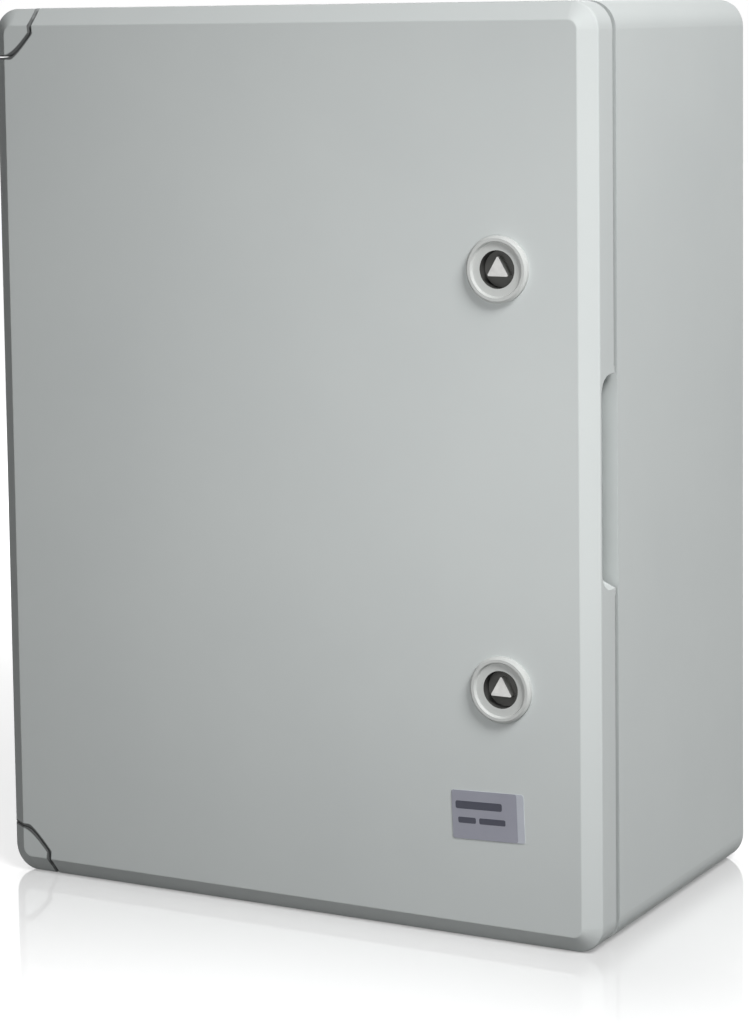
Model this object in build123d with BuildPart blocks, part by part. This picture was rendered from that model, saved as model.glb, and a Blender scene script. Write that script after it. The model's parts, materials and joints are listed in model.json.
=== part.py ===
from build123d import *
import math
import os

# Wall-mounted electrical enclosure with a hinged door and two quarter-turn locks.
# Millimetres, +Z up, door towards -Y, origin under the middle of the overall box.

# Overall size
width = 300.0
height = 400.0
depth = 170.0  # door face to wall face

# Moulded walls and edges
body_wall = 3.5
back_wall = 4.0
door_wall = 3.0
corner_radius = 12.0
back_edge_radius = 6.0
inner_edge = 3.0
door_inset = 0.2  # the door's outline stays inside the body's
door_depth = 19.7
bevel = 7.5
bevel_depth = 5.0
bevel_softening = 1.2
seam_gap = 2.4
seam_edge = 0.8

# Rim of the body's mouth, with the seal that the door presses on it
rim_inset = 22.0
rim_wall = 3.0
rim_corner = 11.0
flange_wall = 3.5
gasket_thickness = 6.0
gasket_gap = 0.3
gasket_side_gap = 0.1
gasket_edge = 2.0
channel_room = 3.5  # between the rim and each wall of the seal's channel
channel_wall = 2.0
channel_lip = 2.0  # how far the channel's walls stand past the seal

# Hinge: a lug of the body at two corners, and a pin into the door
pin_radius = 2.5
pin_clearance = 0.05
pin_chamfer = 0.5
pin_grip = 14.0  # length of pin held in the lug
axis_inset = 6.5
axis_behind = 9.0
lug_height = 21.5
lug_gap = 1.8
lug_end_gap = 0.6  # along the pin
seam_start = 9.0  # where the lug's slanting seam leaves its inner end
seam_turn = 21.0  # where it turns up
seam_turn_height = 11.0  # from the turn to the top of the lug
seam_end = 22.0  # where it leaves the bevel
seam_corner = 3.0
boss_length = 16.0
boss_wall = 3.2
swing_clearance = 0.6

# Finger grip in the door's free side
grip_length = 91.0
grip_margin = 1.0  # behind the bevel
grip_corner = 9.0
grip_depth = 6.0  # at the door's rear edge
grip_slope = 25.0

# Quarter-turn locks
lock_from_side = 44.0
lock_spacing = 178.0
escutcheon_radius = 14.2
escutcheon_proud = 2.8
escutcheon_rim = 2.2
escutcheon_edge = 1.0
dish_depth = 1.4
dish_slope = 0.6
socket_radius = 8.1
socket_floor = 5.4  # behind the door face
barrel_radius = 11.0
barrel_flats = 20.0
barrel_clearance = 0.25
seal_outer = 12.8
seal_thickness = 0.6
seal_clearance = 0.1
lock_pad_radius = 16.5
lock_pad_thickness = 1.5
nut_sides = 6
nut_across = 26.0
nut_thickness = 4.0
nut_clearance = 0.1
nut_chamfer = 0.6

# Turning core of a lock, with its cam
core_radius = 6.0
core_clearance = 0.05
core_play = 0.1
core_head_thickness = 2.0
core_head_gap = 0.25
post_sides = 3
post_radius = 5.8  # out to the corners of the key post
post_edge = 0.5
post_set_back = 0.6  # below the dish
shank_side = 8.0
shank_clearance = 0.05
shank_set_back = 0.1
cam_thickness = 3.0
cam_width = 16.0
cam_engagement = 12.0  # length of cam behind the rim
cam_gap = 0.8  # behind the rim's flange
cam_lift = 0.4  # in front of the cam, to the barrel
cam_washer_radius = 6.5
cam_washer_thickness = 1.2
cam_screw_sides = 6
cam_screw_length = 9.0
cam_screw_across = 8.0
cam_screw_head = 3.5

# Screws of five millimetres, shared by the cams and the mounting plate
screw_radius = 2.2
screw_clearance = 0.05

# Mounting plate on its bosses
plate_width = 236.0
plate_height = 336.0
plate_thickness = 2.0
plate_notch = 24.0
plate_fix_x = 216.0
plate_fix_z = 250.0
plate_hole_radius = 2.8
plate_boss_radius = 7.0
plate_boss_height = 14.0
insert_radius = 3.6
insert_length = 10.0
insert_clearance = 0.02
insert_room = 3.0  # hole below the insert
plate_washer_radius = 5.5
plate_washer_thickness = 1.0
plate_screw_length = 10.0
plate_screw_head_radius = 4.75
plate_screw_head = 3.2
plate_screw_edge = 1.2

# Wall fixing holes through the back
wall_fix_x = 216.0
wall_fix_z = 316.0
wall_hole_radius = 4.0
wall_boss_radius = 9.0
wall_boss_height = 6.0

# Values that follow from the sizes above
middle_z = height / 2
face_y = (escutcheon_proud - depth) / 2  # centres the overall box on the origin
door_width = width - 2 * door_inset
door_corner = corner_radius - door_inset
door_left = -door_width / 2
door_top = height - door_inset
body_front = door_depth + seam_gap
flange_back = body_front + flange_wall
rim_front = door_wall + gasket_thickness + gasket_gap
back_inside = depth - back_wall
channel_inset = rim_inset - channel_room
channel_corner = rim_corner + channel_room
channel_breadth = rim_wall + 2 * channel_room
axis_x = door_left + axis_inset
axis_y = face_y + axis_behind
lug_base = door_top - lug_height
boss_base = lug_base - lug_end_gap - boss_length
lock_x = width / 2 - lock_from_side
cam_front = flange_back + cam_gap
cam_back = cam_front + cam_thickness
barrel_end = cam_front - cam_lift
dish_floor = dish_depth - escutcheon_proud
cam_reach = lock_from_side - rim_inset - rim_wall + cam_engagement
plate_back = back_inside - plate_boss_height
plate_front = plate_back - plate_thickness
hinge_axis = Axis((axis_x, axis_y, 0), (0, 0, -1))
mid_plane = Plane.XY.offset(middle_z)
past = 1.0  # how far a cut runs past a face


def behind_face(distance):
    """Plane parallel to the door face, looking out of it, with its centre at mid height."""
    return Plane(origin=(0, face_y + distance, middle_z), x_dir=(1, 0, 0), z_dir=(0, -1, 0))


def save(piece, label):
    piece.label = label
    export_step(piece, f"parts/{label}.step")


def outline(inset, corner, mode=Mode.ADD):
    """Rounded rectangle inside the body's outline."""
    RectangleRounded(width - 2 * inset, height - 2 * inset, corner, mode=mode)


def band(inset, corner, breadth):
    """Ring that follows the body's outline."""
    outline(inset, corner)
    outline(inset + breadth, corner - breadth, mode=Mode.SUBTRACT)


def bevelled_block(inset, corner, front, back, edge):
    """Block along the door's outline, with its front edge bevelled at the door's slope."""
    with BuildPart() as block:
        with BuildSketch(behind_face(front)):
            outline(inset, corner)
        extrude(amount=front - back)
        front_face = block.faces().sort_by(Axis.Y)[0]
        chamfer(front_face.edges(), edge, edge * bevel_depth / bevel, reference=front_face)
    return block.part


def door_form(back):
    """Outer form of the door, with the edges of its bevel softened."""
    with BuildPart() as form:
        add(bevelled_block(door_inset, door_corner, 0, back, bevel))
        loops = form.edges().filter_by_position(Axis.Y, face_y - past / 2, face_y + past / 2)
        bevel_y = face_y + bevel_depth
        loops += form.edges().filter_by_position(Axis.Y, bevel_y - past / 2, bevel_y + past / 2)
        fillet(loops, bevel_softening)
    return form.part


def seam_radius(from_side, behind):
    """Distance from the hinge axis of a point of the lug's seam."""
    return math.hypot(from_side - axis_inset, behind - axis_behind)


def lug_profile(gap, end_gap):
    """Half section of the lug about the hinge axis, grown by a gap round it and one at its end."""
    base = lug_base - end_gap
    top = door_top + gap
    start = seam_radius(seam_start + gap, 0)
    turn = seam_radius(seam_turn + gap, 0)
    end = seam_radius(seam_end + gap, bevel_depth)
    turn_z = door_top - seam_turn_height
    with BuildLine() as edge:
        FilletPolyline((0, base), (start, base), (turn, turn_z), (end, top), radius=seam_corner + gap)
        Polyline((end, top), (0, top), (0, base))
    make_face(edge.edges())


def hinge_lug(gap, end_gap):
    """Upper lug: turned about the pin in front, straight back to the body behind it."""
    section = Plane(origin=(axis_x, axis_y, 0), x_dir=(1, 0, 0), z_dir=(0, -1, 0))
    with BuildPart() as lug:
        with BuildSketch(section):
            lug_profile(gap, end_gap)
        revolve(axis=hinge_axis, revolution_arc=180)
        with BuildSketch(section):
            lug_profile(gap, end_gap)
            mirror(about=Plane.YZ)
        extrude(amount=axis_behind - body_front)
    return lug.part


os.makedirs("parts", exist_ok=True)

# Lug inside the door's outer form, and the room that the door leaves round it
with BuildPart() as upper_lug:
    add(hinge_lug(0, 0))
    add(door_form(body_front), mode=Mode.INTERSECT)
    with BuildSketch(Plane.XY.offset(lug_base)):
        with Locations((axis_x, axis_y)):
            Circle(pin_radius + pin_clearance)
    extrude(amount=pin_grip, mode=Mode.SUBTRACT)

with BuildPart() as upper_notch:
    add(hinge_lug(lug_gap, lug_end_gap))

# Body moulding: walls, inward flange, rim round the mouth, bosses on the back
with BuildPart() as body:
    with BuildSketch(behind_face(body_front)):
        outline(0, corner_radius)
    extrude(amount=body_front - depth)
    fillet(body.faces().sort_by(Axis.Y)[-1].edges(), back_edge_radius)
    with BuildSketch(behind_face(flange_back)):
        outline(body_wall, corner_radius - body_wall)
    extrude(amount=flange_back - back_inside, mode=Mode.SUBTRACT)
    floor_y = face_y + back_inside
    inner_edges = body.edges().filter_by_position(Axis.Y, floor_y - past / 2, floor_y + past / 2)
    chamfer(inner_edges, inner_edge)
    with BuildSketch(behind_face(rim_front)):
        outline(rim_inset, rim_corner)
    extrude(amount=rim_front - flange_back)
    with BuildSketch(behind_face(rim_front)):
        outline(rim_inset + rim_wall, rim_corner - rim_wall)
    extrude(amount=rim_front - flange_back, mode=Mode.SUBTRACT)
    with BuildSketch(behind_face(plate_back)):
        with GridLocations(plate_fix_x, plate_fix_z, 2, 2):
            Circle(plate_boss_radius)
    extrude(amount=-plate_boss_height)
    with BuildSketch(behind_face(back_inside - wall_boss_height)):
        with GridLocations(wall_fix_x, wall_fix_z, 2, 2):
            Circle(wall_boss_radius)
    extrude(amount=-wall_boss_height)
    with Locations(behind_face(plate_back)):
        with GridLocations(plate_fix_x, plate_fix_z, 2, 2):
            Hole(insert_radius + insert_clearance, insert_length + insert_room)
    with Locations(behind_face(back_inside - wall_boss_height)):
        with GridLocations(wall_fix_x, wall_fix_z, 2, 2):
            Hole(wall_hole_radius, wall_boss_height + back_wall)
    add(upper_lug.part)
    add(mirror(upper_lug.part, about=mid_plane, mode=Mode.PRIVATE))
save(body.part, "body_shell")

# Finger grip: a scoop with rounded ends, whose floor slants in from the bevel to the door's rear edge
grip_front = bevel_depth + grip_margin
grip_plane = Plane(origin=(door_width / 2, face_y, middle_z), x_dir=(0, 1, 0), z_dir=(1, 0, 0))
with BuildPart() as grip:
    with BuildSketch(grip_plane):
        with Locations((grip_front + door_depth, 0)):
            RectangleRounded(2 * door_depth, grip_length, grip_corner)
    extrude(amount=-2 * grip_depth, taper=grip_slope)
    with BuildSketch(Plane.XY.offset(middle_z)):
        with Locations((door_width / 2, face_y + grip_front)):
            run = door_depth - grip_front
            Polygon((0, 0), (0, 2 * run), (-2 * grip_depth, 2 * run), align=None)
    extrude(amount=grip_length, both=True, mode=Mode.INTERSECT)

# Door moulding
with BuildPart() as door:
    add(door_form(door_depth))
    rear_edges = door.faces().sort_by(Axis.Y)[-1].edges()
    chamfer(rear_edges, seam_edge)
    bevel_slant = math.hypot(1 / bevel, 1 / bevel_depth)
    inner_bevel = bevel * (1 + door_wall * (bevel_slant - 1 / bevel_depth)) - door_wall
    inner_inset = door_inset + door_wall
    inner_corner = door_corner - door_wall
    add(
        bevelled_block(inner_inset, inner_corner, door_wall, door_depth + past, inner_bevel),
        mode=Mode.SUBTRACT,
    )
    # Walls of the seal's channel
    channel_back = door_wall + gasket_thickness + channel_lip
    with BuildSketch(behind_face(door_wall)):
        band(channel_inset - channel_wall, channel_corner + channel_wall, channel_wall)
        band(channel_inset + channel_breadth, channel_corner - channel_breadth, channel_wall)
    extrude(amount=door_wall - channel_back)
    # Pads under the lock nuts, inside the channel
    with BuildSketch(behind_face(door_wall)):
        with Locations((lock_x, 0)):
            with GridLocations(0, lock_spacing, 1, 2):
                Circle(lock_pad_radius)
        outline(channel_inset + channel_breadth, channel_corner - channel_breadth, mode=Mode.INTERSECT)
    extrude(amount=-lock_pad_thickness)
    # Thick wall behind the finger grip
    grip_wall = grip_depth + door_wall
    with BuildSketch(behind_face(door_wall)):
        with Locations((door_width / 2 - grip_wall / 2, 0)):
            Rectangle(grip_wall, grip_length + 2 * door_wall)
    extrude(amount=door_wall - door_depth)
    # Bosses for the hinge pins, filling the corner behind the bevel
    boss_radius = pin_radius + boss_wall
    with BuildSketch(Plane.XY.offset(boss_base)):
        with Locations((axis_x, axis_y)):
            Circle(boss_radius)
        with Locations((axis_x - axis_inset / 2, axis_y - axis_behind / 2)):
            Rectangle(axis_inset + 2 * boss_radius, axis_behind)
            Rectangle(axis_inset, axis_behind + 2 * boss_radius)
    upper_boss = extrude(amount=boss_length)
    mirror(upper_boss, about=mid_plane)
    add(door_form(door_depth), mode=Mode.INTERSECT)
    # Holes for the lock barrels, with their two flats
    with BuildSketch(behind_face(-past)):
        with Locations((lock_x, 0)):
            with GridLocations(0, lock_spacing, 1, 2):
                Circle(barrel_radius + barrel_clearance)
                flats = barrel_flats + 2 * barrel_clearance
                Rectangle(2 * (barrel_radius + past), flats, mode=Mode.INTERSECT)
    extrude(amount=-past - door_wall - lock_pad_thickness - past, mode=Mode.SUBTRACT)
    add(grip.part, mode=Mode.SUBTRACT)
    # Room for the hinge lugs, bores for their pins, and room for the swing past the rim
    add(upper_notch.part, mode=Mode.SUBTRACT)
    add(mirror(upper_notch.part, about=mid_plane, mode=Mode.PRIVATE), mode=Mode.SUBTRACT)
    with BuildSketch(Plane.XY.offset(boss_base)):
        with Locations((axis_x, axis_y)):
            Circle(pin_radius + pin_clearance)
    upper_bore = extrude(amount=boss_length, mode=Mode.SUBTRACT)
    add(mirror(upper_bore, about=mid_plane, mode=Mode.PRIVATE), mode=Mode.SUBTRACT)
    swing_radius = min(rim_inset - door_inset - axis_inset, body_front - axis_behind) - swing_clearance
    with BuildSketch(Plane.XY):
        with Locations((axis_x, axis_y)):
            Rectangle(axis_inset + past, door_depth + past, align=(Align.MAX, Align.MIN))
            Circle(swing_radius, mode=Mode.SUBTRACT)
    extrude(amount=height, mode=Mode.SUBTRACT)
save(door.part, "door_panel")

# Foam seal in the door's channel
with BuildPart() as gasket:
    with BuildSketch(behind_face(door_wall)):
        seal_breadth = channel_breadth - 2 * gasket_side_gap
        band(channel_inset + gasket_side_gap, channel_corner - gasket_side_gap, seal_breadth)
    extrude(amount=-gasket_thickness)
    chamfer(gasket.faces().sort_by(Axis.Y)[-1].edges(), gasket_edge)
save(gasket.part, "door_gasket")

# Hinge pins
with BuildPart() as upper_pin:
    with BuildSketch(Plane.XY.offset(boss_base)):
        with Locations((axis_x, axis_y)):
            Circle(pin_radius)
    extrude(amount=boss_length + lug_end_gap + pin_grip)
    chamfer(upper_pin.edges().filter_by(GeomType.CIRCLE), pin_chamfer)
save(upper_pin.part, "hinge_pin_upper")

with BuildPart() as lower_pin:
    mirror(upper_pin.part, about=mid_plane)
save(lower_pin.part, "hinge_pin_lower")

# Mounting plate with notched corners, clear of the wall screws
with BuildPart() as plate:
    with BuildSketch(behind_face(plate_back)):
        Rectangle(plate_width, plate_height)
        with GridLocations(plate_width, plate_height, 2, 2):
            Rectangle(2 * plate_notch, 2 * plate_notch, mode=Mode.SUBTRACT)
        with GridLocations(plate_fix_x, plate_fix_z, 2, 2):
            Circle(plate_hole_radius, mode=Mode.SUBTRACT)
    extrude(amount=plate_thickness)
save(plate.part, "mounting_plate")

with BuildPart() as inserts:
    with BuildSketch(behind_face(plate_back)):
        with GridLocations(plate_fix_x, plate_fix_z, 2, 2):
            Circle(insert_radius)
            Circle(screw_radius + screw_clearance, mode=Mode.SUBTRACT)
    extrude(amount=-insert_length)
save(inserts.part, "plate_inserts")

with BuildPart() as plate_washers:
    with BuildSketch(behind_face(plate_front)):
        with GridLocations(plate_fix_x, plate_fix_z, 2, 2):
            Circle(plate_washer_radius)
            Circle(plate_hole_radius, mode=Mode.SUBTRACT)
    extrude(amount=plate_washer_thickness)
save(plate_washers.part, "plate_washers")

with BuildPart() as plate_screws:
    head_seat = behind_face(plate_front - plate_washer_thickness)
    with BuildSketch(head_seat):
        with GridLocations(plate_fix_x, plate_fix_z, 2, 2):
            Circle(plate_screw_head_radius)
    extrude(amount=plate_screw_head)
    head_fronts = plate_screws.faces().filter_by(Axis.Y).group_by(Axis.Y)[0]
    chamfer(head_fronts.edges(), plate_screw_edge)
    with BuildSketch(head_seat):
        with GridLocations(plate_fix_x, plate_fix_z, 2, 2):
            Circle(screw_radius)
    extrude(amount=-plate_screw_length)
save(plate_screws.part, "plate_screws")


def lock_axis_plane(lock_z):
    """Plane through a lock's axis: first axis outwards from it, second axis into the box."""
    return Plane(origin=(lock_x, face_y, lock_z), x_dir=(1, 0, 0), z_dir=(0, 0, 1))


def across_lock(lock_z, distance):
    """Plane across a lock's axis, looking out of the door."""
    return Plane(origin=(lock_x, face_y + distance, lock_z), x_dir=(1, 0, 0), z_dir=(0, -1, 0))


# Two locks, each of a fixed barrel with its seal and nut, and a turning core with its cam
for place, side in (("upper", 1), ("lower", -1)):
    lock_z = middle_z + side * lock_spacing / 2
    turning_axis = Axis((lock_x, face_y, lock_z), (0, 1, 0))

    with BuildPart() as housing:
        rim_inner = escutcheon_radius - escutcheon_rim
        bore_radius = core_radius + core_clearance
        with BuildSketch(lock_axis_plane(lock_z)) as section:
            with BuildLine():
                Polyline(
                    (bore_radius, socket_floor),
                    (socket_radius, socket_floor),
                    (socket_radius, dish_floor),
                    (rim_inner - dish_slope, dish_floor),
                    (rim_inner, -escutcheon_proud),
                    (escutcheon_radius, -escutcheon_proud),
                    (escutcheon_radius, 0),
                    (seal_outer + seal_clearance, 0),
                    (seal_outer + seal_clearance, -seal_thickness),
                    (barrel_radius, -seal_thickness),
                    (barrel_radius, barrel_end),
                    (bore_radius, barrel_end),
                    close=True,
                )
            make_face()
        revolve(axis=turning_axis)
        front_edges = housing.edges().group_by(Axis.Y)[0]
        chamfer(front_edges.sort_by(SortBy.RADIUS)[-1], escutcheon_edge)
        with BuildSketch(across_lock(lock_z, 0)):
            Circle(barrel_radius + past)
            Rectangle(2 * (barrel_radius + past), barrel_flats, mode=Mode.SUBTRACT)
        extrude(amount=-barrel_end, mode=Mode.SUBTRACT)
    save(housing.part, f"{place}_lock_housing")

    with BuildPart() as seal:
        with BuildSketch(across_lock(lock_z, 0)):
            Circle(seal_outer)
            Circle(barrel_radius + seal_clearance, mode=Mode.SUBTRACT)
        extrude(amount=seal_thickness)
    save(seal.part, f"{place}_lock_seal")

    with BuildPart() as nut:
        nut_seat = door_wall + lock_pad_thickness
        with BuildSketch(across_lock(lock_z, nut_seat)):
            RegularPolygon(nut_across / 2, nut_sides, major_radius=False, rotation=180 / nut_sides)
        extrude(amount=-nut_thickness)
        chamfer(nut.faces().sort_by(Axis.Y)[-1].edges(), nut_chamfer)
        with Locations(across_lock(lock_z, nut_seat)):
            Hole(barrel_radius + nut_clearance, nut_thickness)
    save(nut.part, f"{place}_lock_nut")

    with BuildPart() as core:
        head_back = socket_floor - core_play
        head_front = head_back - core_head_thickness
        with BuildSketch(across_lock(lock_z, head_back)):
            Circle(socket_radius - core_head_gap)
        extrude(amount=core_head_thickness)
        with BuildSketch(across_lock(lock_z, head_front)) as post_sketch:
            RegularPolygon(post_radius, post_sides, rotation=90)
            fillet(post_sketch.vertices(), post_edge)
        extrude(amount=head_front - dish_floor - post_set_back)
        with BuildSketch(across_lock(lock_z, head_back)):
            Circle(core_radius)
        extrude(amount=head_back - cam_front)
        with BuildSketch(across_lock(lock_z, cam_front)):
            Rectangle(shank_side, shank_side)
        extrude(amount=shank_set_back - cam_thickness)
        with BuildSketch(across_lock(lock_z, cam_back)):
            Circle(screw_radius + screw_clearance)
        extrude(amount=cam_screw_length + past, mode=Mode.SUBTRACT)
    save(core.part, f"{place}_lock_core")

    with BuildPart() as cam:
        with BuildSketch(across_lock(lock_z, cam_front)):
            SlotCenterPoint((0, -(cam_reach - cam_width / 2) / 2), (0, 0), cam_width)
            shank_hole = shank_side + 2 * shank_clearance
            Rectangle(shank_hole, shank_hole, mode=Mode.SUBTRACT)
        extrude(amount=-cam_thickness)
    save(cam.part, f"{place}_lock_cam")

    with BuildPart() as cam_washer:
        with BuildSketch(across_lock(lock_z, cam_back)):
            Circle(cam_washer_radius)
            Circle(screw_radius + screw_clearance, mode=Mode.SUBTRACT)
        extrude(amount=-cam_washer_thickness)
    save(cam_washer.part, f"{place}_cam_washer")

    with BuildPart() as cam_screw:
        screw_seat = cam_back + cam_washer_thickness
        with BuildSketch(across_lock(lock_z, screw_seat)):
            RegularPolygon(cam_screw_across / 2, cam_screw_sides, major_radius=False)
        extrude(amount=-cam_screw_head)
        with BuildSketch(across_lock(lock_z, screw_seat)):
            Circle(screw_radius)
        extrude(amount=cam_screw_length)
    save(cam_screw.part, f"{place}_cam_screw")
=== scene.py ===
import bmesh
import bpy
import json
import math
from mathutils import Matrix, Vector


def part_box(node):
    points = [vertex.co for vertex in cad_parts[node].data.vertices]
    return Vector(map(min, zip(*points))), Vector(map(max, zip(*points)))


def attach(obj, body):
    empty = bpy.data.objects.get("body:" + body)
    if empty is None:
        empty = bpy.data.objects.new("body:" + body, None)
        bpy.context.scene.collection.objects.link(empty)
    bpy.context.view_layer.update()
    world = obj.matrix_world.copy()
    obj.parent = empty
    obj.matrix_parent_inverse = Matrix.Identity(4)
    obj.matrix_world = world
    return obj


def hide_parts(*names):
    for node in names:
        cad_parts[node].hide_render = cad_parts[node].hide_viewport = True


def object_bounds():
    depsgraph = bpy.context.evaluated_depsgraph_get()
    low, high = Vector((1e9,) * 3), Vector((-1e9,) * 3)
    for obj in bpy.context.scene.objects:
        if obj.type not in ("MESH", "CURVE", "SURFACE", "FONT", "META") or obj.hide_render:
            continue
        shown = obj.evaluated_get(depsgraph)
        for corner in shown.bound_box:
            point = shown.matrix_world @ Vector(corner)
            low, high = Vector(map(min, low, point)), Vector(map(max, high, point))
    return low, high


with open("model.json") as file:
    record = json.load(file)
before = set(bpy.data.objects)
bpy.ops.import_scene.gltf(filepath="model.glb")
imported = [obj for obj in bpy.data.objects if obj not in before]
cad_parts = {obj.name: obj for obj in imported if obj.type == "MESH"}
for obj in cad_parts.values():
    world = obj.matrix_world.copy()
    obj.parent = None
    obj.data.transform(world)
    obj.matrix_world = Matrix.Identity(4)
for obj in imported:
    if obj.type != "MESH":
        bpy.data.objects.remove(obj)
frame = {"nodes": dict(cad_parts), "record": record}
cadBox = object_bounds()
nodes = frame["nodes"]
mm = 0.001
quarterTurn = math.pi / 2
scene = bpy.context.scene
scene.view_settings.view_transform = "Standard"
doorLow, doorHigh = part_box("door_panel")
faceY = doorLow.y  # plane of the door's front
midZ = (doorLow.z + doorHigh.z) / 2
print("frame loaded,", len(nodes), "nodes")


def middle(nodeName):
    low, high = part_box(nodeName)
    return (low + high) / 2


upperLock = middle("upper_lock_seal")  # rings, so their middle is the lock's axis
lowerLock = middle("lower_lock_seal")
hingePin = middle("hinge_pin_upper")

# small helpers for node trees and meshes
floatSocket = "NodeSocketFloat"
intSocket = "NodeSocketInt"
vectorSocket = "NodeSocketVector"
objectSocket = "NodeSocketObject"
materialSocket = "NodeSocketMaterial"
geometrySocket = "NodeSocketGeometry"
mixFirst, mixSecond, mixResult = 6, 7, 2  # places of the mix node's colour sockets


def setInputs(tree, node, inputs):  # each takes a link from another socket, or a plain value
    for name, value in inputs.items():
        socket = node.inputs[name]
        if isinstance(value, bpy.types.NodeSocket):
            tree.links.new(value, socket)
        elif socket.type == "RGBA":
            socket.default_value = (*value, 1)
        else:
            socket.default_value = value


def addNode(tree, kind, inputs=None, **settings):
    node = tree.nodes.new(kind)
    for name, value in settings.items():
        setattr(node, name, value)
    setInputs(tree, node, inputs or {})
    return node


def addMath(tree, operation, *values):
    return addNode(tree, "ShaderNodeMath", dict(enumerate(values)), operation=operation).outputs["Value"]


def addVectorMath(tree, operation, *values):
    return addNode(tree, "ShaderNodeVectorMath", dict(enumerate(values)), operation=operation).outputs


def addRange(tree, value, span, outcome=(0.0, 1.0)):  # held at the ends of the span
    names = ("Value", "From Min", "From Max", "To Min", "To Max")
    inputs = dict(zip(names, (value, *span, *outcome)))
    return addNode(tree, "ShaderNodeMapRange", inputs).outputs["Result"]


def mixColours(tree, factor, first, second):
    inputs = {"Factor": factor, mixFirst: first, mixSecond: second}
    return addNode(tree, "ShaderNodeMix", inputs, data_type="RGBA").outputs[mixResult]


def hypotenuse(tree, first, second):
    squares = [addMath(tree, "MULTIPLY", side, side) for side in (first, second)]
    return addMath(tree, "SQRT", addMath(tree, "ADD", *squares))


def startTree(name, treeKind, inputs, outputs):  # sockets are given as kinds with their names
    tree = bpy.data.node_groups.new(name, treeKind)
    for direction, sockets in (("INPUT", inputs), ("OUTPUT", outputs)):
        for socketKind, socketNames in sockets.items():
            for socketName in socketNames:
                tree.interface.new_socket(socketName, in_out=direction, socket_type=socketKind)
    return tree, addNode(tree, "NodeGroupInput").outputs, addNode(tree, "NodeGroupOutput")


def newObject(name, data):
    piece = bpy.data.objects.new(name, data)
    scene.collection.objects.link(piece)
    return piece


def meshFrom(name, bm):
    bmesh.ops.recalc_face_normals(bm, faces=bm.faces)
    mesh = bpy.data.meshes.new(name)
    bm.to_mesh(mesh)
    bm.free()
    return mesh


def bakedMesh(piece):  # what the piece's modifiers make, as a plain mesh
    depsgraph = bpy.context.evaluated_depsgraph_get()
    mesh = bpy.data.meshes.new_from_object(piece.evaluated_get(depsgraph))
    piece.modifiers.clear()
    return mesh


# shader groups that several materials share

def addNoise(tree, vector, scale, detail, roughness):
    inputs = {"Vector": vector, "Scale": scale, "Detail": detail, "Roughness": roughness}
    return addNode(tree, "ShaderNodeTexNoise", inputs).outputs["Fac"]


grainRule = {
    "fine": (3.0, 0.62),  # detail and roughness of each noise
    "cloud": (4.0, 0.55),
    "cloudSpan": (0.32, 0.68),
    "pitShare": 0.45,
}


def makeMouldGrain():  # spark-eroded skin of a moulding, with broad clouds of tone
    inputs = {vectorSocket: ("Vector",), floatSocket: ("Grain", "Cloud")}
    outputs = {floatSocket: ("Height", "Tone")}
    group, given, result = startTree("mouldGrain", "ShaderNodeTree", inputs, outputs)
    fine = addNoise(group, given["Vector"], given["Grain"], *grainRule["fine"])
    cells = {"Vector": given["Vector"], "Scale": given["Grain"]}
    pits = addNode(group, "ShaderNodeTexVoronoi", cells, feature="SMOOTH_F1").outputs["Distance"]
    pits = addMath(group, "MULTIPLY", pits, grainRule["pitShare"])
    cloud = addNoise(group, given["Vector"], given["Cloud"], *grainRule["cloud"])
    setInputs(group, result, {
        "Height": addMath(group, "ADD", fine, pits),
        "Tone": addRange(group, cloud, grainRule["cloudSpan"]),
    })
    return group


linesRule = {
    "lines": (4.0, 0.6),  # detail and roughness of each noise
    "blotch": (3.0, 0.6),
    "blotchScale": 160.0,
    "blotchSpan": (0.3, 0.7),
}


def makeDrawnLines():  # fine lines left by drawing or rolling, along one axis
    inputs = {vectorSocket: ("Vector", "Stretch"), floatSocket: ("Fineness",)}
    outputs = {floatSocket: ("Lines", "Blotch")}
    group, given, result = startTree("drawnLines", "ShaderNodeTree", inputs, outputs)
    stretched = addVectorMath(group, "MULTIPLY", given["Vector"], given["Stretch"])["Vector"]
    blotch = addNoise(group, given["Vector"], linesRule["blotchScale"], *linesRule["blotch"])
    setInputs(group, result, {
        "Lines": addNoise(group, stretched, given["Fineness"], *linesRule["lines"]),
        "Blotch": addRange(group, blotch, linesRule["blotchSpan"]),
    })
    return group


mouldGrain = makeMouldGrain()
drawnLines = makeDrawnLines()
heightSpan = (0.4, 1.0)  # where most of the grain's height lies
linesSpan = (0.3, 0.7)
print("shader groups made")


# materials

def startMaterial(name):
    material = bpy.data.materials.new(name)
    material.use_nodes = True
    tree = material.node_tree
    tree.nodes.clear()
    surface = addNode(tree, "ShaderNodeBsdfPrincipled")
    addNode(tree, "ShaderNodeOutputMaterial", {"Surface": surface.outputs["BSDF"]})
    place = addNode(tree, "ShaderNodeTexCoord").outputs["Object"]
    return material, tree, surface, place


def useGroup(tree, group, place, **values):
    return addNode(tree, "ShaderNodeGroup", {"Vector": place, **values}, node_tree=group).outputs


def addBump(tree, surface, height, look):
    inputs = {"Height": height, "Strength": look["strength"], "Distance": look["depth"]}
    setInputs(tree, surface, {"Normal": addNode(tree, "ShaderNodeBump", inputs).outputs["Normal"]})


def splitPlace(tree, place):
    return addNode(tree, "ShaderNodeSeparateXYZ", {"Vector": place}).outputs


def millimetresFrom(tree, coordinate, start):
    return addMath(tree, "MULTIPLY", addMath(tree, "SUBTRACT", coordinate, start), 1 / mm)


def depthBehindFace(tree, place):  # millimetres behind the door's face
    return millimetresFrom(tree, splitPlace(tree, place)["Y"], faceY)


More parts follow.
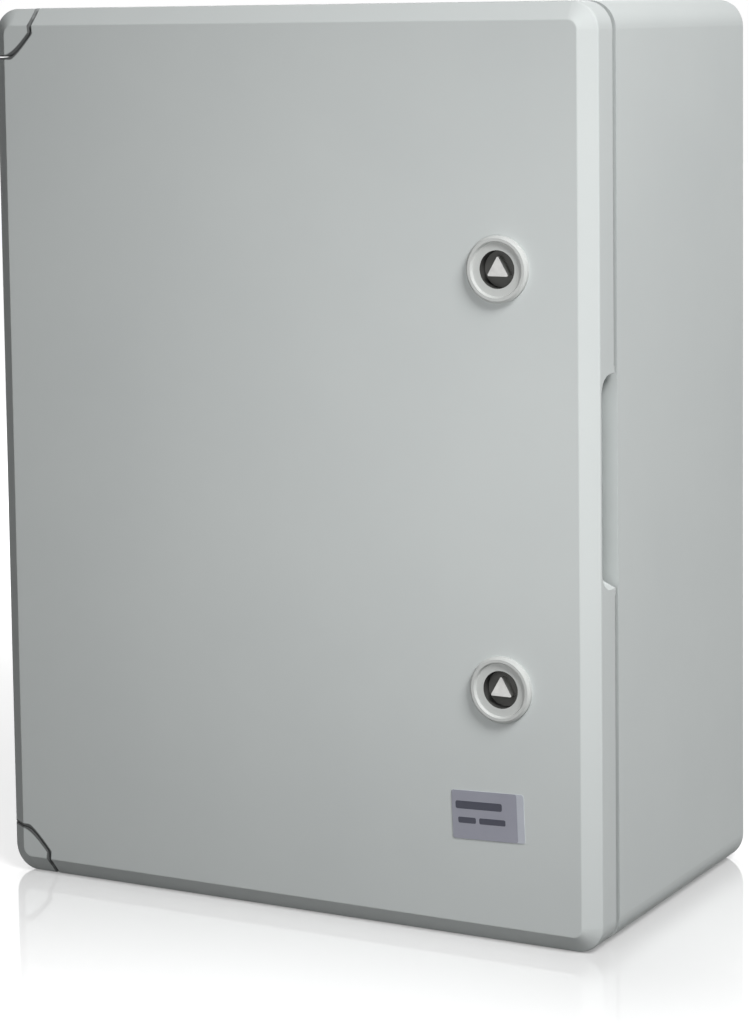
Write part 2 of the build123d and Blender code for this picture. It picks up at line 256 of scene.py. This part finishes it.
def grainedSkin(name, skin, findPaintedShade=None, paintedShade=None):  # the painted shade's colour lies where the mask is 1
    material, tree, surface, place = startMaterial(name)
    grain = useGroup(tree, mouldGrain, place, Grain=skin["grain"], Cloud=skin["cloud"])
    colour = mixColours(tree, grain["Tone"], skin["base"], skin["patch"])
    if findPaintedShade:
        colour = mixColours(tree, findPaintedShade(tree, place), colour, paintedShade)
    setInputs(tree, surface, {
        "Base Color": colour,
        "Roughness": addRange(tree, grain["Height"], heightSpan, skin["rough"]),
        "Specular IOR Level": skin["sheen"],
    })
    addBump(tree, surface, grain["Height"], skin)
    return material


# case and door, with painted shade in the seam round each hinge lug
greySkin = {
    "base": (0.604, 0.634, 0.627),
    "patch": (0.578, 0.608, 0.604),
    "grain": 2400.0,  # grains in a metre
    "cloud": 8.0,
    "rough": (0.48, 0.62),
    "sheen": 0.10,
    "strength": 0.30,
    "depth": 0.05 * mm,
}
lugSeamShade = {
    # painted shade: dark colour for the walls of the seam round each lug
    "colour": (0.12, 0.125, 0.125),
    "path": ((0.0, 178.0), (9.6, 178.0), (17.8, 188.8), (16.9, 200.8)),  # mm from the pin and from mid height
    "edge": (0.85, 1.30),  # half widths in mm between which the line fades
    "fade": (5.0, 10.0),  # depths behind the door's face in mm, likewise
}


def distanceToRun(tree, point, start, end):
    run = Vector((*end, 0)) - Vector((*start, 0))
    offset = addVectorMath(tree, "SUBTRACT", point, (*start, 0))["Vector"]
    along = addVectorMath(tree, "DOT_PRODUCT", offset, run / run.length_squared)["Value"]
    share = addRange(tree, along, (0.0, 1.0))  # held between the run's ends
    nearest = addNode(tree, "ShaderNodeVectorMath", {0: run, "Scale": share}, operation="SCALE")
    return addVectorMath(tree, "DISTANCE", offset, nearest.outputs["Vector"])["Value"]


def seamPoint(tree, place):  # distance from the hinge pin and from mid height, in millimetres
    axes = splitPlace(tree, place)
    across = millimetresFrom(tree, axes["X"], hingePin.x)
    ahead = millimetresFrom(tree, axes["Y"], hingePin.y)
    ahead = addMath(tree, "MINIMUM", ahead, 0.0)  # the lug runs straight back behind its pin
    rise = addMath(tree, "ABSOLUTE", millimetresFrom(tree, axes["Z"], midZ))
    inputs = {"X": hypotenuse(tree, across, ahead), "Y": rise}
    return addNode(tree, "ShaderNodeCombineXYZ", inputs).outputs["Vector"]


# painted shade on the walls of the seam round each hinge lug, fading out behind the door's face
def paintedSeamShade(tree, place):
    point = seamPoint(tree, place)
    path = lugSeamShade["path"]
    nearest = distanceToRun(tree, point, path[0], path[1])
    for start, end in zip(path[1:], path[2:]):
        nearest = addMath(tree, "MINIMUM", nearest, distanceToRun(tree, point, start, end))
    line = addRange(tree, nearest, lugSeamShade["edge"], (1.0, 0.0))
    nearFace = addRange(tree, depthBehindFace(tree, place), lugSeamShade["fade"], (1.0, 0.0))
    return addMath(tree, "MULTIPLY", line, nearFace)


# lock housings, grey outside, with painted shade on the wall inside the key socket
lockSkin = {
    "base": (0.557, 0.570, 0.557),
    "patch": (0.531, 0.546, 0.534),
    "grain": 5200.0,
    "cloud": 60.0,
    "rough": (0.44, 0.56),
    "sheen": 0.10,
    "strength": 0.18,
    "depth": 0.02 * mm,
}
# painted shade: dark colour for the socket's wall, within the radius and between the front and back depths
socketShade = {"colour": (0.06, 0.06, 0.058), "radius": 8.3, "front": -1.3, "back": 5.6}  # millimetres


def distanceFrom(tree, place, lock):  # millimetres from a lock's axis
    flat = addVectorMath(tree, "MULTIPLY", place, (1, 0, 1))["Vector"]
    away = addVectorMath(tree, "DISTANCE", flat, (lock.x, 0, lock.z))["Value"]
    return addMath(tree, "MULTIPLY", away, 1 / mm)


# painted shade on the housing's wall inside each key socket
def paintedSocketShade(tree, place):
    distances = [distanceFrom(tree, place, lock) for lock in (upperLock, lowerLock)]
    behind = depthBehindFace(tree, place)
    inside = addMath(tree, "LESS_THAN", addMath(tree, "MINIMUM", *distances), socketShade["radius"])
    inside = addMath(tree, "MULTIPLY", inside, addMath(tree, "GREATER_THAN", behind, socketShade["front"]))
    return addMath(tree, "MULTIPLY", inside, addMath(tree, "LESS_THAN", behind, socketShade["back"]))


rubberSkin = {
    "base": (0.020, 0.020, 0.021),
    "patch": (0.040, 0.040, 0.041),  # bloom
    "grain": 3000.0,
    "cloud": 120.0,
    "rough": (0.50, 0.68),
    "sheen": 0.50,
    "strength": 0.2,
    "depth": 0.03 * mm,
}
foamLook = {
    "skin": (0.052, 0.053, 0.056),
    # painted shade: darker colour in the hollows of the cells
    "shadedHollow": (0.020, 0.020, 0.022),
    "cell": 1500.0,  # cells in a metre
    "cellSpan": (0.45, 0.85),
    "cloud": 40.0,
    "rough": (0.78, 0.95),
    "strength": 0.6,
    "depth": 0.25 * mm,
}


def sealFoam():
    material, tree, surface, place = startMaterial("sealFoam")
    grain = useGroup(tree, mouldGrain, place, Grain=foamLook["cell"], Cloud=foamLook["cloud"])
    # the low parts of the cells take the darker colour, painted shade
    cells = addRange(tree, grain["Height"], foamLook["cellSpan"])
    setInputs(tree, surface, {
        "Base Color": mixColours(tree, cells, foamLook["shadedHollow"], foamLook["skin"]),
        "Roughness": addRange(tree, grain["Tone"], (0.0, 1.0), foamLook["rough"]),
    })
    addBump(tree, surface, cells, foamLook)
    return material


def drawnMetal(name, look):  # fine lines along the way it was drawn or turned
    material, tree, surface, place = startMaterial(name)
    lines = useGroup(tree, drawnLines, place, Fineness=look["fineness"], Stretch=look["stretch"])
    setInputs(tree, surface, {
        "Base Color": mixColours(tree, lines["Blotch"], look["bright"], look["dull"]),
        "Roughness": addRange(tree, lines["Lines"], linesSpan, look["rough"]),
        "Metallic": 1.0,
    })
    addBump(tree, surface, lines["Lines"], look)
    return material


platedLook = {
    "bright": (0.70, 0.70, 0.67),
    "dull": (0.56, 0.57, 0.56),
    "fineness": 900.0,  # lines in a metre
    "stretch": (1.0, 0.15, 1.0),
    "rough": (0.26, 0.42),
    "strength": 0.2,
    "depth": 0.01 * mm,
}
brassLook = {
    "bright": (0.80, 0.58, 0.27),
    "dull": (0.60, 0.42, 0.19),
    "fineness": 1400.0,
    "stretch": (0.2, 1.0, 0.2),
    "rough": (0.22, 0.40),
    "strength": 0.25,
    "depth": 0.02 * mm,
}
coreLook = {
    "bright": (0.57, 0.57, 0.555),  # key post
    "dull": (0.46, 0.46, 0.45),
    "disc": (0.12, 0.12, 0.115),
    "shank": (0.60, 0.60, 0.57),
    "discFront": 3.2,  # millimetres behind the face
    "discBack": 5.6,
    "sheen": 0.08,
    "bare": 0.8,  # how metallic it is where it isn't blackened
    "fineness": 1600.0,
    "stretch": (1.0, 0.3, 1.0),
    "rough": (0.30, 0.46),
    "strength": 0.15,
    "depth": 0.02 * mm,
}


def keyCore():  # bright post in front, blackened disc round it and a plain shank behind
    material = drawnMetal("keyCore", coreLook)
    tree = material.node_tree
    surface = tree.nodes["Principled BSDF"]
    post = surface.inputs["Base Color"].links[0].from_socket
    behind = depthBehindFace(tree, tree.nodes["Texture Coordinate"].outputs["Object"])
    onPost = addMath(tree, "LESS_THAN", behind, coreLook["discFront"])
    onShank = addMath(tree, "GREATER_THAN", behind, coreLook["discBack"])
    colour = mixColours(tree, onPost, coreLook["disc"], post)
    setInputs(tree, surface, {
        "Base Color": mixColours(tree, onShank, colour, coreLook["shank"]),
        "Metallic": addMath(tree, "MULTIPLY", addMath(tree, "ADD", onPost, onShank), coreLook["bare"]),
        "Specular IOR Level": coreLook["sheen"],
    })
    return material


sheetLook = {
    "pale": (0.72, 0.73, 0.73),
    "deep": (0.46, 0.48, 0.49),
    "spangle": 95.0,  # crystals in a metre
    "wander": 4.0 * mm,  # how far the edges of the crystals wander
    "wanderScale": 220.0,
    "wanderDetail": 3.0,
    "fineness": 600.0,
    "stretch": (1.0, 1.0, 0.05),
    "streakSpan": (0.2, 0.8),
    "streak": (0.7, 1.0),
    "rough": (0.34, 0.52),
    "strength": 0.15,
    "depth": 0.01 * mm,
}


def galvanisedSheet():
    look = sheetLook
    material, tree, surface, place = startMaterial("galvanisedSheet")
    inputs = {"Vector": place, "Scale": look["wanderScale"], "Detail": look["wanderDetail"]}
    wander = addNode(tree, "ShaderNodeTexNoise", inputs).outputs["Color"]
    moved = addVectorMath(tree, "MULTIPLY_ADD", wander, (look["wander"],) * 3, place)["Vector"]
    inputs = {"Vector": moved, "Scale": look["spangle"]}
    cells = addNode(tree, "ShaderNodeTexVoronoi", inputs, feature="F1").outputs["Color"]
    shade = addNode(tree, "ShaderNodeSeparateColor", {"Color": cells}).outputs
    lines = useGroup(tree, drawnLines, place, Fineness=look["fineness"], Stretch=look["stretch"])
    streak = addRange(tree, lines["Lines"], look["streakSpan"], look["streak"])
    spangle = addMath(tree, "MULTIPLY", shade["Red"], streak)
    setInputs(tree, surface, {
        "Base Color": mixColours(tree, spangle, look["pale"], look["deep"]),
        "Roughness": addRange(tree, shade["Green"], (0.0, 1.0), look["rough"]),
        "Metallic": 1.0,
    })
    addBump(tree, surface, shade["Blue"], look)
    return material


finishes = {
    # the mouldings take painted shade in the hinge seams and inside the key sockets
    "grey_moulding": grainedSkin("greyMoulding", greySkin, paintedSeamShade, lugSeamShade["colour"]),
    "lock_moulding": grainedSkin("lockMoulding", lockSkin, paintedSocketShade, socketShade["colour"]),
    "foam_seal": sealFoam(),
    "black_rubber": grainedSkin("blackRubber", rubberSkin),
    "key_core": keyCore(),
    "plated_steel": drawnMetal("platedSteel", platedLook),
    "galvanised_sheet": galvanisedSheet(),
    "brass": drawnMetal("turnedBrass", brassLook),
}
for subpart in frame["record"]["subparts"]:
    slots = nodes[subpart["node"]].data.materials
    slots.clear()
    slots.append(finishes[subpart["material_slot"]])


# pieces made by geometry nodes

def startShape(name, inputs):
    return startTree(name, "GeometryNodeTree", inputs, {geometrySocket: ("Geometry",)})


def endShape(tree, geometry, material, result):  # instances become faces, which take the piece's finish
    realized = addNode(tree, "GeometryNodeRealizeInstances", {"Geometry": geometry}).outputs["Geometry"]
    painted = addNode(tree, "GeometryNodeSetMaterial", {"Geometry": realized, "Material": material})
    setInputs(tree, result, {"Geometry": painted.outputs["Geometry"]})
    return tree


def growMesh(pieceName, tree, values):
    carrier = newObject("carrier", bpy.data.meshes.new("carrier"))
    modifier = carrier.modifiers.new("grow", "NODES")
    modifier.node_group = tree
    for socket in tree.interface.items_tree:
        if socket.in_out == "INPUT":
            modifier[socket.identifier] = values[socket.name]
    mesh = bakedMesh(carrier)
    bpy.data.objects.remove(carrier)
    return newObject(pieceName, mesh)


def shadeByAngle(mesh, limit=35.0):  # degrees
    mesh.shade_smooth()
    mesh.set_sharp_from_angle(angle=math.radians(limit))


# foam seal, a rounded strip that runs round the door's channel
sealStrip = {"breadth": 9.8 * mm, "corner": 9.5 * mm, "edge": 2.0 * mm, "cornerSteps": 12, "edgeSteps": 5}


def roundedCurve(tree, width, height, radius, steps):
    outline = addNode(tree, "GeometryNodeCurvePrimitiveQuadrilateral", {"Width": width, "Height": height})
    inputs = {"Curve": outline.outputs["Curve"], "Radius": radius, "Count": steps}
    return addNode(tree, "GeometryNodeFilletCurve", inputs, mode="POLY").outputs["Curve"]


def sealTree():
    tree, given, result = startShape("foamSealTree", {
        floatSocket: ("Width", "Height", "Corner", "Breadth", "Thickness", "Edge"),
        vectorSocket: ("Centre",),
        materialSocket: ("Finish",),
    })
    path = roundedCurve(tree, given["Width"], given["Height"], given["Corner"], sealStrip["cornerSteps"])
    section = roundedCurve(tree, given["Breadth"], given["Thickness"], given["Edge"], sealStrip["edgeSteps"])
    strip = addNode(tree, "GeometryNodeCurveToMesh", {"Curve": path, "Profile Curve": section})
    upright = addNode(tree, "GeometryNodeTransform", {
        "Geometry": strip.outputs["Mesh"],
        "Translation": given["Centre"],
        "Rotation": (quarterTurn, 0, 0),
    })
    return endShape(tree, upright.outputs["Geometry"], given["Finish"], result)


def makeSeal():
    low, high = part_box("door_gasket")
    size = high - low
    piece = growMesh("foamSeal", sealTree(), {
        "Width": size.x - sealStrip["breadth"],
        "Height": size.z - sealStrip["breadth"],
        "Corner": sealStrip["corner"],
        "Breadth": sealStrip["breadth"],
        "Thickness": size.y,
        "Edge": sealStrip["edge"],
        "Centre": (low + high) / 2,
        "Finish": finishes["foam_seal"],
    })
    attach(piece, "door")
    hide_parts("door_gasket")
    return piece


foamSeal = makeSeal()
print("foam seal:", len(foamSeal.data.polygons), "faces")

# screws of the mounting plate, with a cross recess
plateScrew = {
    "headRadius": 4.75 * mm,
    "headHeight": 3.2 * mm,
    "dome": 1.2 * mm,
    "domeSteps": 6,
    "shankRadius": 2.2 * mm,
    "shankLength": 10.0 * mm,
    "slotWidth": 1.05 * mm,
    "slotReach": 2.6 * mm,
    "slotDepth": 1.7 * mm,
    "slotTaper": 0.6,
    "steps": 40,
    "merge": 0.001 * mm,
    "seed": 4,
}


def latheMesh(name, profile, size):  # profile of radius and depth, turned about the Y axis
    bm = bmesh.new()
    ring = [bm.verts.new((radius, depth, 0)) for radius, depth in profile]
    edges = [bm.edges.new(pair) for pair in zip(ring, ring[1:])]
    bmesh.ops.spin(bm, geom=ring + edges, cent=(0, 0, 0), axis=(0, 1, 0), angle=4 * quarterTurn,
                   steps=size["steps"])
    bmesh.ops.remove_doubles(bm, verts=bm.verts, dist=size["merge"])
    return meshFrom(name, bm)


def crossCutter(size):  # two tapered bars, crossed
    bm = bmesh.new()
    for turn in (0, quarterTurn):
        corners = bmesh.ops.create_cube(bm, size=1.0)["verts"]
        for corner in corners:
            deep = corner.co.y > 0
            taper = size["slotTaper"] if deep else 1.0
            corner.co.x *= 2 * size["slotReach"] * taper
            corner.co.z *= size["slotWidth"] * taper
            corner.co.y = size["slotDepth"] if deep else -size["slotDepth"]
        bmesh.ops.rotate(bm, verts=corners, cent=(0, 0, 0), matrix=Matrix.Rotation(turn, 3, "Y"))
    return meshFrom("crossCutter", bm)


def screwProfile(size):
    profile = [(0, 0)]
    for step in range(size["domeSteps"] + 1):  # rounded shoulder of the head
        angle = quarterTurn * step / size["domeSteps"]
        inset = size["dome"] * (1 - math.sin(angle))
        profile.append((size["headRadius"] - inset, size["dome"] * (1 - math.cos(angle))))
    headBack = size["headHeight"]
    tip = headBack + size["shankLength"]
    profile += [(size["headRadius"], headBack), (size["shankRadius"], headBack)]
    profile += [(size["shankRadius"], tip), (0, tip)]
    return profile


def screwPattern():
    screw = newObject("screwPattern", latheMesh("screwPattern", screwProfile(plateScrew), plateScrew))
    cutter = newObject("crossCutter", crossCutter(plateScrew))
    cut = screw.modifiers.new("recess", "BOOLEAN")
    cut.operation = "DIFFERENCE"
    cut.solver = "EXACT"
    cut.use_self = True
    cut.object = cutter
    screw.data = bakedMesh(screw)
    bpy.data.objects.remove(cutter)
    return screw


def screwTree():
    tree, given, result = startShape("plateScrewTree", {
        floatSocket: ("Spacing X", "Spacing Z"),
        vectorSocket: ("Head front",),
        objectSocket: ("Screw",),
        intSocket: ("Seed",),
        materialSocket: ("Finish",),
    })
    grid = addNode(tree, "GeometryNodeMeshGrid", {
        "Vertices X": 2,
        "Vertices Y": 2,
        "Size X": given["Spacing X"],
        "Size Y": given["Spacing Z"],
    })
    upright = addNode(tree, "GeometryNodeTransform", {
        "Geometry": grid.outputs["Mesh"],
        "Translation": given["Head front"],
        "Rotation": (quarterTurn, 0, 0),
    })
    pattern = addNode(tree, "GeometryNodeObjectInfo", {"Object": given["Screw"]}, transform_space="ORIGINAL")
    inputs = {"Min": (0, 0, 0), "Max": (0, quarterTurn, 0), "Seed": given["Seed"]}
    turn = addNode(tree, "FunctionNodeRandomValue", inputs, data_type="FLOAT_VECTOR")
    placed = addNode(tree, "GeometryNodeInstanceOnPoints", {
        "Points": upright.outputs["Geometry"],
        "Instance": pattern.outputs["Geometry"],
        "Rotation": turn.outputs["Value"],
    })
    return endShape(tree, placed.outputs["Instances"], given["Finish"], result)


def makePlateScrews():
    low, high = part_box("plate_screws")
    centre = (low + high) / 2
    pattern = screwPattern()
    piece = growMesh("plateScrews", screwTree(), {
        "Spacing X": high.x - low.x - 2 * plateScrew["headRadius"],
        "Spacing Z": high.z - low.z - 2 * plateScrew["headRadius"],
        "Head front": (centre.x, low.y, centre.z),
        "Screw": pattern,
        "Seed": plateScrew["seed"],
        "Finish": finishes["plated_steel"],
    })
    bpy.data.objects.remove(pattern)
    shadeByAngle(piece.data)
    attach(piece, "enclosure")
    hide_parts("plate_screws")
    return piece


plateScrews = makePlateScrews()
print("plate screws:", len(plateScrews.data.polygons), "faces")

# thread on the round sides of each lock barrel
barrelThread = {
    "radius": 11.0 * mm,
    "flats": 20.0 * mm,
    "ridge": 0.42 * mm,
    "ridgeSides": 4,
    "pitch": 1.5 * mm,
    "start": 9.6 * mm,  # behind the door's face, past the nut
    "end": 25.5 * mm,
    "steps": 28,
}


def threadTree():
    tree, given, result = startShape("barrelThreadTree", {
        floatSocket: ("Radius", "Sweep", "Ridge"),
        intSocket: ("Turns",),
        vectorSocket: ("Pitch", "First"),
        materialSocket: ("Finish",),
    })
    both = addNode(tree, "GeometryNodeJoinGeometry")
    inputs = {"Resolution": barrelThread["ridgeSides"], "Radius": given["Ridge"]}
    ridge = addNode(tree, "GeometryNodeCurvePrimitiveCircle", inputs, mode="RADIUS").outputs["Curve"]
    firstAngle = addMath(tree, "MULTIPLY", given["Sweep"], -0.5)  # half of the sweep to each side
    for turn in (0, math.pi):  # the two sides between the flats
        arc = addNode(tree, "GeometryNodeCurveArc", {
            "Resolution": barrelThread["steps"],
            "Radius": given["Radius"],
            "Sweep Angle": given["Sweep"],
            "Start Angle": firstAngle,
        }, mode="RADIUS")
        inputs = {"Curve": arc.outputs["Curve"], "Profile Curve": ridge, "Fill Caps": True}
        rod = addNode(tree, "GeometryNodeCurveToMesh", inputs).outputs["Mesh"]
        inputs = {"Geometry": rod, "Rotation": (quarterTurn, turn, 0)}
        upright = addNode(tree, "GeometryNodeTransform", inputs).outputs["Geometry"]
        setInputs(tree, both, {"Geometry": upright})
    inputs = {"Count": given["Turns"], "Start Location": given["First"], "Offset": given["Pitch"]}
    row = addNode(tree, "GeometryNodeMeshLine", inputs, mode="OFFSET").outputs["Mesh"]
    inputs = {"Points": row, "Instance": both.outputs["Geometry"]}
    placed = addNode(tree, "GeometryNodeInstanceOnPoints", inputs).outputs["Instances"]
    return endShape(tree, placed, given["Finish"], result)


def makeThread(pieceName, tree, lock):
    size = barrelThread
    piece = growMesh(pieceName, tree, {
        "Radius": size["radius"],
        "Sweep": 2 * math.asin(size["flats"] / 2 / size["radius"]),
        "Ridge": size["ridge"],
        "Turns": int((size["end"] - size["start"]) / size["pitch"]) + 1,
        "Pitch": (0, size["pitch"], 0),
        "First": (lock.x, faceY + size["start"], lock.z),
        "Finish": finishes["lock_moulding"],
    })
    shadeByAngle(piece.data)
    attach(piece, "door")


threadRule = threadTree()
for side, lock in (("upper", upperLock), ("lower", lowerLock)):
    makeThread(side + "BarrelThread", threadRule, lock)
print("barrel threads made")

# blank label: a pale film, a darker field on it and three plain bars
labelPlate = {
    "centreX": 99.0 * mm,
    "centreZ": 55.3 * mm,
    "tilt": 2.2,  # degrees
    "width": 34.0 * mm,
    "height": 21.0 * mm,
    "thick": 0.30 * mm,
    "layer": 0.04 * mm,
    "corner": 1.0 * mm,
    "cornerSteps": 5,
    "strip": 3.2 * mm,  # pale edge left at the right
    "bars": (  # x, z, length and height in mm
        (-2.6, 4.2, 22.0, 3.4),
        (-8.4, -2.4, 8.4, 2.6),
        (3.6, -2.4, 12.4, 2.6),
    ),
    "barCorner": 0.25,  # of a bar's height
}
filmSkin = {"grain": 3600.0, "cloud": 70.0, "sheen": 0.50, "strength": 0.1, "depth": 0.01 * mm}
labelSkins = {  # in the order of the layers
    "labelFilm": {"base": (0.47, 0.49, 0.54), "patch": (0.43, 0.45, 0.50), "rough": (0.32, 0.44)},
    "labelField": {"base": (0.295, 0.300, 0.352), "patch": (0.270, 0.275, 0.325), "rough": (0.28, 0.40)},
    "labelInk": {"base": (0.036, 0.038, 0.060), "patch": (0.028, 0.030, 0.048), "rough": (0.36, 0.48)},
}


def roundedOutline(centre, width, height, corner, steps):
    points = []
    for quarter in range(4):
        signX = 1 if quarter in (0, 3) else -1
        signZ = 1 if quarter in (0, 1) else -1
        for step in range(steps + 1):
            angle = quarterTurn * (quarter + step / steps)
            points.append((centre[0] + signX * (width / 2 - corner) + corner * math.cos(angle),
                           centre[1] + signZ * (height / 2 - corner) + corner * math.sin(angle)))
    return points


def addSlab(bm, outline, back, front, layer):
    rear = [bm.verts.new((x, back, z)) for x, z in outline]
    fore = [bm.verts.new((x, front, z)) for x, z in outline]
    faces = [bm.faces.new(rear), bm.faces.new(fore)]
    for index in range(len(outline)):
        after = (index + 1) % len(outline)
        faces.append(bm.faces.new((rear[index], rear[after], fore[after], fore[index])))
    for face in faces:
        face.material_index = layer


def makeLabel():
    size = labelPlate
    width, height, corner, steps = (size[name] for name in ("width", "height", "corner", "cornerSteps"))
    fieldX = -size["strip"] / 2
    fronts = [-size["thick"] - layer * size["layer"] for layer in range(len(labelSkins))]
    bm = bmesh.new()
    addSlab(bm, roundedOutline((0, 0), width, height, corner, steps), 0, fronts[0], 0)
    field = roundedOutline((fieldX, 0), width - size["strip"], height, corner, steps)
    addSlab(bm, field, fronts[0], fronts[1], 1)
    for x, z, barLength, barHeight in size["bars"]:
        barCorner = size["barCorner"] * barHeight * mm
        bar = roundedOutline((fieldX + x * mm, z * mm), barLength * mm, barHeight * mm, barCorner, steps)
        addSlab(bm, bar, fronts[1], fronts[2], 2)
    turn = Matrix.Rotation(math.radians(-size["tilt"]), 4, "Y")
    bm.transform(Matrix.Translation((size["centreX"], faceY, size["centreZ"])) @ turn)
    piece = newObject("blankLabel", meshFrom("blankLabel", bm))
    for name, skin in labelSkins.items():
        piece.data.materials.append(grainedSkin(name, {**filmSkin, **skin}))
    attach(piece, "door")


makeLabel()
print("label made")


# floor, light and camera

def showStage(tree, thrown, shown, output):  # what is seen differs from the light that is thrown back
    path = addNode(tree, "ShaderNodeLightPath").outputs
    seen = addMath(tree, "ADD", path["Is Camera Ray"], path["Is Glossy Ray"])
    seen = addMath(tree, "MINIMUM", addMath(tree, "ADD", seen, path["Is Transmission Ray"]), 1.0)
    choice = addNode(tree, "ShaderNodeMixShader", {"Fac": seen, 1: thrown, 2: shown})
    setInputs(tree, output, {"Surface": choice.outputs["Shader"]})


floorLook = {
    "half": 6.0,  # metres
    "drop": 0.05 * mm,
    "diffuse": 0.80,
    "bounce": 0.25,  # what the floor throws back on the object
    "glow": (0.55, 1.0),
    "glowSpan": (0.4, 1.8),  # metres from the box
    "mirror": (0.50, 0.07),
    "mirrorSpan": (0.0, 0.20),  # metres from the box
    "mirrorRough": 0.05,
}


def floorMaterial():
    look = floorLook
    material, tree, surface, place = startMaterial("paleFloor")
    tree.nodes.remove(surface)
    axes = splitPlace(tree, place)
    gaps = []
    for axis, edge in zip("XY", cadBox[1]):  # how far outside the box it is
        beyond = addMath(tree, "SUBTRACT", addMath(tree, "ABSOLUTE", axes[axis]), edge)
        gaps.append(addMath(tree, "MAXIMUM", beyond, 0.0))
    away = hypotenuse(tree, *gaps)
    strength = addRange(tree, away, look["glowSpan"], look["glow"])
    glow = addNode(tree, "ShaderNodeEmission", {"Strength": strength}).outputs["Emission"]
    lit, dim = (addNode(tree, "ShaderNodeBsdfDiffuse", {"Color": (look[name],) * 3}).outputs["BSDF"]
                for name in ("diffuse", "bounce"))
    shown = addNode(tree, "ShaderNodeAddShader", {0: glow, 1: lit}).outputs["Shader"]
    mirror = addNode(tree, "ShaderNodeBsdfGlossy", {"Roughness": look["mirrorRough"]}).outputs["BSDF"]
    share = addRange(tree, away, look["mirrorSpan"], look["mirror"])
    polished = addNode(tree, "ShaderNodeMixShader", {"Fac": share, 1: shown, 2: mirror}).outputs["Shader"]
    showStage(tree, dim, polished, tree.nodes["Material Output"])
    return material


def makeFloor():
    half = floorLook["half"]
    bm = bmesh.new()
    corners = ((-half, -half), (half, -half), (half, half), (-half, half))
    bm.faces.new([bm.verts.new((x, y, -floorLook["drop"])) for x, y in corners])
    floor = newObject("floor", meshFrom("floor", bm))
    floor.data.materials.append(floorMaterial())


makeFloor()

worldLook = {"colour": (1, 1, 1), "ambient": 0.03, "shown": 1.0}


def makeWorld():
    world = bpy.data.worlds.new("paleStudio")
    world.use_nodes = True
    scene.world = world
    tree = world.node_tree
    tree.nodes.clear()
    skies = []
    for name in ("ambient", "shown"):
        inputs = {"Color": worldLook["colour"], "Strength": worldLook[name]}
        skies.append(addNode(tree, "ShaderNodeBackground", inputs).outputs["Background"])
    showStage(tree, *skies, addNode(tree, "ShaderNodeOutputWorld"))


makeWorld()

lamps = {
    "sideLamp": {"place": (1.170, -0.699, 1.404), "aim": (0.0, -0.05, 0.20), "size": 0.60, "power": 31.8},
    "backLamp": {"place": (-0.70, 1.10, 0.90), "aim": (0.0, 0.0, 0.20), "size": 0.60, "power": 12.0},
    "frontLamp": {"place": (0.149, -0.419, 0.235), "aim": (0.0, -0.05, 0.20), "size": 0.20, "power": 0.50},
}


def makeLamps():
    for name, lamp in lamps.items():
        data = bpy.data.lights.new(name, "AREA")
        data.shape = "SQUARE"
        data.size = lamp["size"]
        data.energy = lamp["power"]
        light = newObject(name, data)
        light.location = lamp["place"]
        ahead = Vector(lamp["aim"]) - Vector(lamp["place"])
        light.rotation_euler = ahead.to_track_quat("-Z", "Y").to_euler()


makeLamps()

viewpoint = {
    "place": (0.64479, -1.18451, 0.39531),
    "yaw": 28.498,  # degrees to the left of straight ahead
    "pitch": 5.666,  # degrees down
    "roll": -0.728,
    "lens": 103.79,
    "sensor": 36.0,
    "shift": -0.20,
}


def makeCamera():
    yaw, pitch, roll = (math.radians(viewpoint[name]) for name in ("yaw", "pitch", "roll"))
    ahead = Vector((-math.sin(yaw) * math.cos(pitch), math.cos(yaw) * math.cos(pitch), -math.sin(pitch)))
    level = Vector((math.cos(yaw), math.sin(yaw), 0))
    rise = level.cross(ahead)
    right = math.cos(roll) * level + math.sin(roll) * rise
    top = math.cos(roll) * rise - math.sin(roll) * level
    data = bpy.data.cameras.new("photoCamera")
    data.lens = viewpoint["lens"]
    data.sensor_width = viewpoint["sensor"]
    data.shift_y = viewpoint["shift"]
    camera = newObject("photoCamera", data)
    turn = Matrix((right, top, -ahead)).transposed().to_4x4()
    camera.matrix_world = Matrix.Translation(viewpoint["place"]) @ turn
    scene.camera = camera


makeCamera()
print("stage, lamps and camera set")
